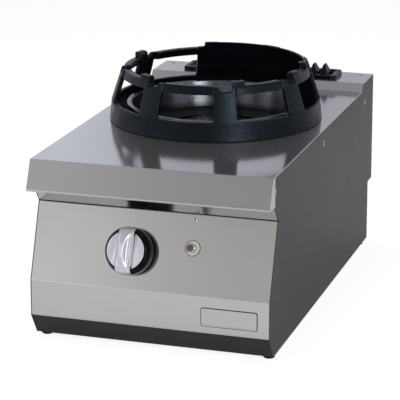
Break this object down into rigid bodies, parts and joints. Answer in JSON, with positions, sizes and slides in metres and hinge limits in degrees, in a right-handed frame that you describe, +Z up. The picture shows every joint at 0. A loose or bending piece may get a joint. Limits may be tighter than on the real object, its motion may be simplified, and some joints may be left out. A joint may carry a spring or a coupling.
{
  "type": "wok range",
  "caption": "Table-top gas wok range: cast-iron wok ring over a round burner in a steel casing, with one control knob, an igniter button and a rear flue grate.",
  "frame": {"origin": "bottom centre of the whole object's box, on the plane the feet stand on", "axes": "+X to the right seen from the front, +Y to the back, +Z up"},
  "size_m": [0.4, 0.7128, 0.3963],
  "materials": {
    "worktop_steel": "brushed stainless steel, satin",
    "panel_steel": "brushed stainless steel, satin",
    "side_steel": "dark brushed steel",
    "dark_steel": "dark painted steel",
    "cast_iron": "black cast iron, satin speckle",
    "enamel": "glossy vitreous enamel",
    "knob_plastic": "black, slightly glossy",
    "knob_silver": "satin silver",
    "cream_plastic": "cream, matt",
    "button_plastic": "blue grey, slightly glossy",
    "rubber": "black, matt",
    "brass": "machined",
    "zinc": "plated, dull",
    "pipe_steel": "drawn tube, dull",
    "ceramic": "white ceramic, matt",
    "wire": "spring wire"
  },
  "bodies": {
    "range_body": {"worktop": "worktop_steel", "flue_cover": "worktop_steel", "burner_collar": "worktop_steel", "worktop_stiffeners": "zinc", "rear_screws": "zinc", "left_side_panel": "side_steel", "right_side_panel": "side_steel", "recess_panel": "dark_steel", "control_panel": "panel_steel", "kick_panel": "dark_steel", "base_pan": "zinc", "rear_panel": "zinc", "joining_inserts": "zinc", "feet": "rubber", "foot_screws": "zinc", "badge_plate": "panel_steel", "burner_body": "cast_iron", "burner_support": "zinc", "burner_bolts": "zinc", "injector_holder": "zinc", "injector": "brass", "air_shutter": "zinc", "valve_body": "brass", "valve_screws": "zinc", "valve_spring": "wire", "piezo_bezel": "cream_plastic", "piezo_nut": "zinc", "piezo_body": "cream_plastic", "piezo_spring": "wire", "gas_inlet": "brass", "inlet_locknut": "brass", "supply_pipe": "pipe_steel", "pipe_clips": "zinc", "feed_pipe": "pipe_steel", "pilot_bracket": "zinc", "pilot_burner": "brass", "pilot_pipe": "pipe_steel", "thermocouple": "wire", "spark_electrode": "ceramic", "ignition_lead": "rubber"},
    "valve_plunger": {"spring_seat": "zinc"},
    "knob": {"valve_stem": "zinc", "knob_body": "knob_plastic", "knob_face": "knob_silver", "knob_pointer": "knob_silver"},
    "gas_plug": {"valve_plug": "brass"},
    "igniter_button": {"piezo_button": "button_plastic"},
    "burner_ring": {"burner_head": "cast_iron"},
    "centre_cap": {"burner_cap": "cast_iron"},
    "bowl": {"spill_bowl": "enamel"},
    "pan_ring": {"wok_ring": "cast_iron"},
    "grate": {"flue_grate": "cast_iron"}
  },
  "joints": [
    {"name": "knob_push", "type": "slide", "parent": "range_body", "child": "valve_plunger", "axis": [0, 0.9385, -0.3452], "range_m": [0, 0.003], "stiffness_N_per_m": 1500, "springref_m": -0.003, "deforming": ["valve_spring"]},
    {"name": "knob_turn", "type": "hinge", "parent": "valve_plunger", "child": "knob", "pos_m": [-0.0335, -0.3147, 0.15925], "axis": [0, -0.9385, 0.3452], "range_deg": [0, 210]},
    {"name": "plug_turn", "type": "hinge", "parent": "range_body", "child": "gas_plug", "pos_m": [-0.0335, -0.3147, 0.15925], "axis": [0, -0.9385, 0.3452], "range_deg": [0, 210]},
    {"name": "igniter_press", "type": "slide", "parent": "range_body", "child": "igniter_button", "axis": [0, 0.9385, -0.3452], "range_m": [0, 0.0035], "stiffness_N_per_m": 1200, "springref_m": -0.002, "deforming": ["piezo_spring"]},
    {"name": "burner_ring_lift", "type": "slide", "parent": "range_body", "child": "burner_ring", "axis": [0, 0, 1], "range_m": [0, 0.15]},
    {"name": "centre_cap_lift", "type": "slide", "parent": "burner_ring", "child": "centre_cap", "axis": [0, 0, 1], "range_m": [0, 0.06]},
    {"name": "bowl_lift", "type": "slide", "parent": "range_body", "child": "bowl", "axis": [0, 0, 1], "range_m": [0, 0.15]},
    {"name": "ring_lift", "type": "slide", "parent": "bowl", "child": "pan_ring", "axis": [0, 0, 1], "range_m": [0, 0.15]},
    {"name": "grate_lift", "type": "slide", "parent": "range_body", "child": "grate", "axis": [0, 0, 1], "range_m": [0, 0.08]}
  ],
  "couplings": [
    {"joint": "plug_turn", "follows": "knob_turn", "ratio": 1}
  ]
}
